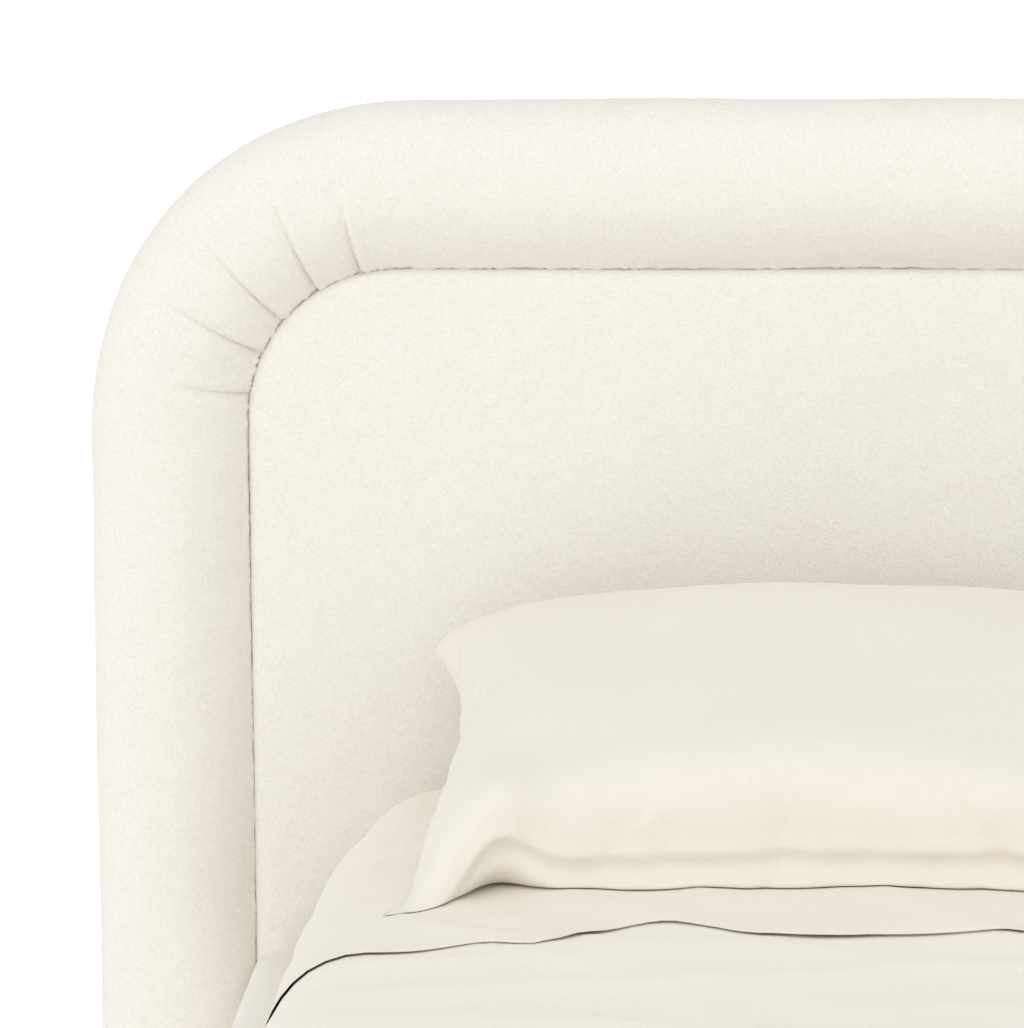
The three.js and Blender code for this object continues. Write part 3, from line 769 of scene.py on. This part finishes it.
def duvet_offset(surface, a, b):
    """How far the duvet's upper face is from the mattress."""
    from_head = HEAD_EDGE - surface[..., 1]
    loft = DUVET_HEAD + (DUVET_LOFT - DUVET_HEAD) * smooth_step(from_head, 0.0, 0.28)
    hanging = DUVET_UNDER + DUVET_SIDE
    loft = hanging + (loft - hanging) * near_side(a, b)
    folded = 0.3 + 0.9 * smooth_step(from_head, 0.0, 0.6)
    return loft + linen_folds(surface, 61) * near_tuck(a, b) * folded


def duvet_piece():
    """The duvet, tucked in at the sides and the foot, with a rounded edge at its head end."""
    length = HEAD_EDGE - DUVET_FOOT
    a = cloth_axis(2 * FLAT_HALF, EDGE_DROP, CLOTH_STEP)
    b = cloth_axis(length, EDGE_DROP, CLOTH_STEP, end=False)
    near = 1 - np.array(ROUNDING_ROWS) * DUVET_ROUNDING * 2 / length
    b = np.concatenate([b[b < near[0] - 1e-6], near])
    grid_b, grid_a = np.meshgrid(b, a, indexing="ij")
    surface, normal = over_mattress(grid_a, grid_b, DUVET_FOOT, HEAD_EDGE, EDGE_DROP)
    upper = duvet_offset(surface, grid_a, grid_b)
    lower = np.full_like(upper, DUVET_UNDER)
    inward = np.clip((HEAD_EDGE - surface[..., 1]) / DUVET_ROUNDING, 0, 1)
    open_share = np.sqrt(np.clip(1 - (1 - inward) ** 2, 0, 1)) * (1 - EDGE_OPEN) + EDGE_OPEN
    middle = (upper + lower) / 2
    upper = middle + (upper - middle) * open_share
    lower = middle + (lower - middle) * open_share
    faces = [surface + normal * offset[..., None] for offset in (upper, lower)]
    return two_layers("duvet_quilt", *faces, DUVET_LINEN)


def hem_reach(x):
    """How far the turned-down part reaches from the fold to its wavy hem."""
    wave = sum(height * bell(x, middle, width) for height, middle, width in HEM_WAVES)
    points = np.stack([x, np.zeros_like(x), np.zeros_like(x)], -1)
    return TURNED_REACH + wave + noise(points, 0.13, 71) * 0.008


def turned_offset(surface, a, b):
    """How far the middle of the turned-down cloth is from the mattress."""
    own = ridges(surface, (0.32, 0.16, 0.3), 72, 3.0) * 0.0014 * near_tuck(a, 0)
    return duvet_offset(surface, a, b) + SHEET_CLEAR + own


def top_sheet():
    """The top sheet: tucked in at the foot, up to the duvet's head end and folded back over it."""
    low, length = DUVET_FOOT, HEAD_EDGE - DUVET_FOOT
    a = cloth_axis(2 * FLAT_HALF, EDGE_DROP, CLOTH_STEP)
    hidden_b = cloth_axis(length, EDGE_DROP, 0.03, end=False)
    grid_b, grid_a = np.meshgrid(hidden_b, a, indexing="ij")
    surface, hidden_normal = over_mattress(grid_a, grid_b, low, HEAD_EDGE, EDGE_DROP)
    hidden = surface + hidden_normal * SHEET_OFFSET

    hanging = np.sign(a) * np.clip(np.abs(a) - 1, 0, 1) * EDGE_DROP
    across = np.clip(a, -1, 1) * FLAT_HALF + hanging
    share = np.concatenate([np.linspace(0, 0.9, 36), np.linspace(0.92, 1.0, 8)])  # close at the hem
    forward = share[:, None] * hem_reach(across)[None, :]
    turned_a = np.broadcast_to(a, forward.shape)
    turned_b = 1 - forward * 2 / length
    surface, turned_normal = over_mattress(turned_a, turned_b, low, HEAD_EDGE, EDGE_DROP)
    lifted = smooth_step(share, 0.80, 1.0)[:, None] * HEM_LIFT * ridges(surface, 0.19, 74, 2.5)
    at_side = bell(np.abs(across), *HEM_SIDE_AT)[None, :]
    lifted += smooth_step(share, 0.75, 1.0)[:, None] * HEM_SIDE_LIFT * at_side
    offset = turned_offset(surface, turned_a, turned_b) + lifted
    turned = surface + turned_normal * offset[..., None]

    start, end = hidden[-1], turned[0]
    angle = np.radians(np.linspace(12, 168, 9))[:, None, None]
    radius = np.linalg.norm(end - start, axis=-1)[None, :, None] / 2
    bulge = np.array([0, 1.0, 0]) * radius * np.sin(angle)
    fold = (start + end) / 2 - np.cos(angle) * (end - start) / 2 + bulge
    path = np.concatenate([hidden, fold, turned])
    outward = -normals_of(path)
    outward *= np.sign(np.einsum("ijk,ijk->ij", outward[-20:], turned_normal[-20:]).sum())
    outside, inside = path + outward * SHEET_HALF, path - outward * SHEET_HALF
    return two_layers("top_sheet_cloth", outside, inside, SHEET_LINEN)


# ---- Pillows ---------------------------------------------------------------------------------

PILLOW_FLAT = (0.685, 0.590)
PILLOW_STEP = 0.0095
PILLOW_TILT = math.radians(11.5)
PILLOW_THICKNESS = 0.178
PILLOW_FROM_PANEL = 0.335
PILLOW_MIDDLE_Z = MATTRESS_TOP + 0.116
PILLOW_FRAMES = 45
PILLOW_APART = 0.004  # half of the gap between the two
PILLOW_PARTED = 0.012  # half of the flat case's, in its middle, for the air to get in
PILLOW_SEED = 80

# How the case lies once it is filled. Reaches and lips are towards the foot.
BACK_EAR_DROP = 0.020
FRONT_EAR_DROP = 0.050
FRONT_EAR_REACH = 0.058
OUTER_DROP = 0.006
SEAM_LIFT = 0.008
SEAM_LIP = 0.005
SEAM_TUCK = 0.010  # how far the cloth below the seam goes back in
UNDER_REACH = 0.45  # how far the underside comes forward, as a share of its depth
UNDER_DEPTH = 0.030
GATHER_LIFT = 0.026  # beside the outer front ear, the case is clear of the bed
GATHER_AT = (0.70, 0.09)
BED_SOFTNESS = 0.0025
PANEL_CLEAR = 0.010
PANEL_SOFTNESS = 0.004


def flat_case():
    """Two layers of cloth sewn together along their edges, slightly parted in the middle."""
    cols, rows = (int(size / PILLOW_STEP) + 1 for size in PILLOW_FLAT)
    u, v = np.meshgrid(np.linspace(-1, 1, cols), np.linspace(-1, 1, rows))
    part = PILLOW_PARTED * ((1 - u**2) * (1 - v**2)) ** 0.5
    top = np.stack([u * PILLOW_FLAT[0] / 2, v * PILLOW_FLAT[1] / 2, part], -1)
    low = top * np.array([1, 1, -1])
    faces = np.concatenate([quads(rows, cols)[:, ::-1], quads(rows, cols) + rows * cols])
    return np.concatenate([top.reshape(-1, 3), low.reshape(-1, 3)]), faces


def inflated(made):
    """Blows a sewn case up with a cloth simulation until it is as thick as the pillow."""
    cloth = made.modifiers.new("cloth", "CLOTH")
    settings = cloth.settings
    settings.quality = 6
    settings.mass = 0.25
    settings.tension_stiffness = 25
    settings.compression_stiffness = 12
    settings.shear_stiffness = 8
    settings.bending_stiffness = 0.4
    settings.use_pressure = True
    settings.uniform_pressure_force = 4.0
    settings.effector_weights.gravity = 0
    cloth.point_cache.frame_start = 1
    cloth.point_cache.frame_end = PILLOW_FRAMES
    scene = bpy.context.scene
    for number in range(1, PILLOW_FRAMES + 1):
        scene.frame_set(number)
        mesh = made.evaluated_get(bpy.context.evaluated_depsgraph_get()).data
        co = np.empty(len(mesh.vertices) * 3)
        mesh.vertices.foreach_get("co", co)
        co = co.reshape(-1, 3)
        if np.ptp(co[:, 2]) >= PILLOW_THICKNESS:
            break
    made.modifiers.remove(cloth)
    scene.frame_set(1)
    return co


def case_places(flat):
    """Places on the flat case, from -1 to 1 across it and from the front edge to the back."""
    return flat[:, 0] / (PILLOW_FLAT[0] / 2), flat[:, 1] / (PILLOW_FLAT[1] / 2)


def soft_floor(value, floor, softness):
    """value where it is well above floor, and a little over floor where it would be below."""
    return floor + softness * np.logaddexp(0, (value - floor) / softness)


def bed_top(x, y):
    """The height of what the pillows lie on: the turned-down sheet, or behind it the fitted one."""
    bare = MATTRESS_TOP + crown(x, y)
    surface = np.stack([x, y, bare], -1)
    fitted_top = 0.004
    turned_top = turned_offset(surface, x / FLAT_HALF, np.zeros_like(x)) + 2 * SHEET_HALF
    return bare + fitted_top + (turned_top - fitted_top) * smooth_step(HEAD_EDGE - y, -0.02, 0.01)


def settled(co, flat, sign, seed):
    """Gives a filled case its sag, ears and raised front seam, and the gather beside one ear."""
    u, v = case_places(flat)
    outer, side = np.abs(u), u * sign
    below = flat[:, 2] < 0
    level = np.stack([co[:, 0], co[:, 1], np.zeros(len(co))], -1)
    co[:, 2] += noise(level, 0.16, seed) * 0.004 * (1 - np.maximum(u**2, v**2))
    ear = (outer * np.abs(v)) ** 5
    front_ear = smooth_step(outer, 0.74, 1.0) * smooth_step(-v, 0.60, 1.0)
    co[:, 2] -= BACK_EAR_DROP * ear * (v > 0) + FRONT_EAR_DROP * front_ear + OUTER_DROP * side
    body = 1 - smooth_step(outer, 0.7, 0.9)
    gather = bell(outer, *GATHER_AT) * (side > 0)
    beneath = np.clip(-co[:, 2], 0, UNDER_DEPTH) * below * (1 - front_ear) * (1 - gather)
    co[:, 1] += SEAM_TUCK * below * bell(v, -0.95, 0.035) * body
    co[:, 1] -= UNDER_REACH * beneath * smooth_step(-v, 0.3, 0.9)
    co[:, 1] -= FRONT_EAR_REACH * front_ear + SEAM_LIP * (v < -0.999) * body
    co[:, 2] += SEAM_LIFT * smooth_step(-v, 0.5, 1.0) * body
    co[:, 2] += GATHER_LIFT * smooth_step(-v, 0.45, 0.95) * gather
    return co


def pillow_piece(name, sign, seed):
    """One pillow in its case, leaning a little and resting on the bed. Sign is -1 on the left."""
    made = mesh_object(name, *flat_case(), PILLOW_LINEN)
    bm = bmesh.new()
    bm.from_mesh(made.data)
    bmesh.ops.remove_doubles(bm, verts=bm.verts, dist=WELD)
    bm.to_mesh(made.data)
    bm.free()
    flat = np.empty(len(made.data.vertices) * 3)
    made.data.vertices.foreach_get("co", flat)
    flat = flat.reshape(-1, 3)
    co = inflated(made)
    co[:, 2] *= PILLOW_THICKNESS / np.ptp(co[:, 2])
    co = settled(co, flat, sign, seed)
    turn = np.array(Euler((PILLOW_TILT, 0, 0)).to_matrix())
    co = co @ turn.T
    co[:, 0] += sign * (np.abs(co[:, 0]).max() + PILLOW_APART)
    co[:, 1] += PANEL_Y - PILLOW_FROM_PANEL
    co[:, 2] += PILLOW_MIDDLE_Z
    co[:, 2] = soft_floor(co[:, 2], bed_top(co[:, 0], co[:, 1]), BED_SOFTNESS)
    co[:, 1] = -soft_floor(-co[:, 1], -(PANEL_Y - PANEL_CLEAR), PANEL_SOFTNESS)
    made.data.vertices.foreach_set("co", co.ravel())
    smooth = made.modifiers.new("smooth", "SUBSURF")
    smooth.levels = smooth.render_levels = 1
    apply_modifiers(made)
    return close_holes(made)


def apply_modifiers(made):
    """Makes the shape that an object's modifiers give it its own."""
    evaluated = made.evaluated_get(bpy.context.evaluated_depsgraph_get())
    mesh = bpy.data.meshes.new_from_object(evaluated)
    made.modifiers.clear()
    made.data = mesh
    mesh.shade_smooth()


# ---- Camera, light and floor -----------------------------------------------------------------

CAMERA_DISTANCE = 5.6  # in front of the panel
CAMERA_HEIGHT = 1.81
CAMERA_SIDE = -0.2625
CAMERA_PITCH = math.radians(9.28)
CAMERA_YAW = math.radians(3.37)
CAMERA_ROLL = math.radians(-0.42)
LENS = 218.5
SENSOR = 36.0
WORLD_LIGHT = 0.80
BACKDROP = 1.05  # what the camera sees behind the bed
FLOOR_RADIUS = 60.0
FLOOR_GLOW = 0.22
# Each sun: its name, the way its light travels, its strength and its angle in degrees.
SUNS = [("key", (0.75, 1.0, -0.85), 0.16, 60), ("front", (0.05, 1.0, -0.50), 0.80, 90)]


def camera():
    """A long lens in front of the bed's foot, turned a little to its left and down."""
    data = bpy.data.cameras.new("camera")
    data.lens = LENS
    data.sensor_width = SENSOR
    data.clip_end = 200
    made = bpy.data.objects.new("camera", data)
    bpy.context.scene.collection.objects.link(made)
    made.location = (CAMERA_SIDE, PANEL_Y - CAMERA_DISTANCE, CAMERA_HEIGHT)
    facing = Euler((math.pi / 2 - CAMERA_PITCH, 0, CAMERA_YAW)).to_matrix()
    roll = Euler((0, 0, CAMERA_ROLL)).to_matrix()
    made.rotation_euler = (facing @ roll).to_euler()
    bpy.context.scene.camera = made


def soft_sun(name, direction, strength, angle):
    """Wide, even light that travels in a direction."""
    data = bpy.data.lights.new(name, "SUN")
    data.energy = strength
    data.angle = math.radians(angle)
    made = bpy.data.objects.new(name, data)
    bpy.context.scene.collection.objects.link(made)
    made.rotation_euler = Vector(direction).to_track_quat("-Z", "Y").to_euler()


def surroundings():
    """A white studio: even light from all round, a pale floor and two wide suns."""
    world = bpy.data.worlds.new("studio")
    world.use_nodes = True
    nodes, links = world.node_tree.nodes, world.node_tree.links
    ground = nodes["Background"]
    ground.inputs["Color"].default_value = (1.0, 1.0, 1.0, 1)
    ground.inputs["Strength"].default_value = WORLD_LIGHT
    seen = nodes.new("ShaderNodeBackground")
    seen.inputs["Color"].default_value = (1.0, 1.0, 1.0, 1)
    seen.inputs["Strength"].default_value = BACKDROP
    path = nodes.new("ShaderNodeLightPath")
    mix = nodes.new("ShaderNodeMixShader")
    links.new(path.outputs["Is Camera Ray"], mix.inputs["Fac"])
    links.new(ground.outputs[0], mix.inputs[1])
    links.new(seen.outputs[0], mix.inputs[2])
    links.new(mix.outputs[0], nodes["World Output"].inputs["Surface"])
    bpy.context.scene.world = world

    bm = bmesh.new()
    bmesh.ops.create_circle(bm, cap_ends=True, segments=96, radius=FLOOR_RADIUS)
    mesh = bpy.data.meshes.new("floor")
    bm.to_mesh(mesh)
    bm.free()
    floor = bpy.data.objects.new("floor", mesh)
    n = Nodes("pale_floor")
    speckle = n.add("ShaderNodeTexNoise", Vector=n.place, Scale=3.0, Detail=2.0)
    color = n.ramp(speckle.outputs["Fac"], [(0.3, (0.92, 0.92, 0.92)), (0.7, (0.94, 0.94, 0.94))])
    n.set(n.shader.inputs["Emission Color"], color)
    n.shader.inputs["Emission Strength"].default_value = FLOOR_GLOW
    mesh.materials.append(n.finish(color, 0.9))
    bpy.context.scene.collection.objects.link(floor)

    for name, direction, strength, angle in SUNS:
        soft_sun(name, direction, strength, angle)

    view = bpy.context.scene.view_settings
    view.view_transform = "Standard"
    view.look = "None"


# ---- The pieces ------------------------------------------------------------------------------


def place(piece, body, slot, *nodes):
    """Puts a piece on a body, in the place of some nodes. The slot is not used."""
    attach(piece, body)
    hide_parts(*nodes)
    return piece


def give(material, *nodes):
    """Gives nodes of the frame a material."""
    for node in nodes:
        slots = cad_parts[node].material_slots
        for index in range(len(slots)):
            slots[index].material = material


camera()
surroundings()

BOTH = ("left", "right")
foams = [f"border_foam_{s}" for s in BOTH] + [f"border_foam_corner_{s}" for s in BOTH]
border = place(border_piece(), "frame", "boucle", "border_cover", "border_foam_top", *foams)
panel = place(panel_piece(), "frame", "boucle", "panel_cover", "panel_foam")
rail_foams = [f"side_rail_{s}_{part}" for s in BOTH for part in ("cover", "foam")]
rails = place(rail_piece(), "frame", "boucle", "foot_rail_cover", "foot_rail_foam", *rail_foams)

ticking = place(mattress_piece(), "mattress", "ticking", "mattress")
fitted = place(fitted_sheet(), "mattress", "linen", "fitted_sheet")
duvet = place(duvet_piece(), "bedding", "linen", "duvet")
turned = place(top_sheet(), "bedding", "linen", "turned_sheet")
for side, sign in zip(BOTH, (-1, 1), strict=True):
    pillow = pillow_piece(f"pillow_case_{side}", sign, PILLOW_SEED + sign)
    place(pillow, f"pillow_{side}", "linen", f"pillow_{side}")

give(PINE_Z, *[f"headboard_post_{s}" for s in BOTH], "centre_leg_head", "centre_leg_foot")
give(PINE_X, *[f"headboard_{level}_rail" for level in ("top", "middle", "bottom")])
give(PINE_X, "foot_rail_board", "headboard_carrier_board", "panel_board")
give(PINE_X, *[f"slat_{i:02d}" for i in range(1, 11)])
give(PINE_Y, "centre_beam", *[f"side_rail_{s}_board" for s in BOTH])
give(PINE_Y, *[f"slat_cleat_{s}" for s in BOTH])
give(PINE_Z, *[f"foot_corner_block_{s}" for s in BOTH])
give(OAK, *[f"foot_{s}" for s in BOTH])
give(STEEL, *[f"rail_bracket_{s}" for s in BOTH])
give(STEEL, *[f"rail_bolt_{s}_{w}" for s in BOTH for w in ("lower", "upper")])
give(PLASTIC, "leveller_head", "leveller_foot", *[f"headboard_glide_{s}" for s in BOTH])
give(LINING, "headboard_back_cover")
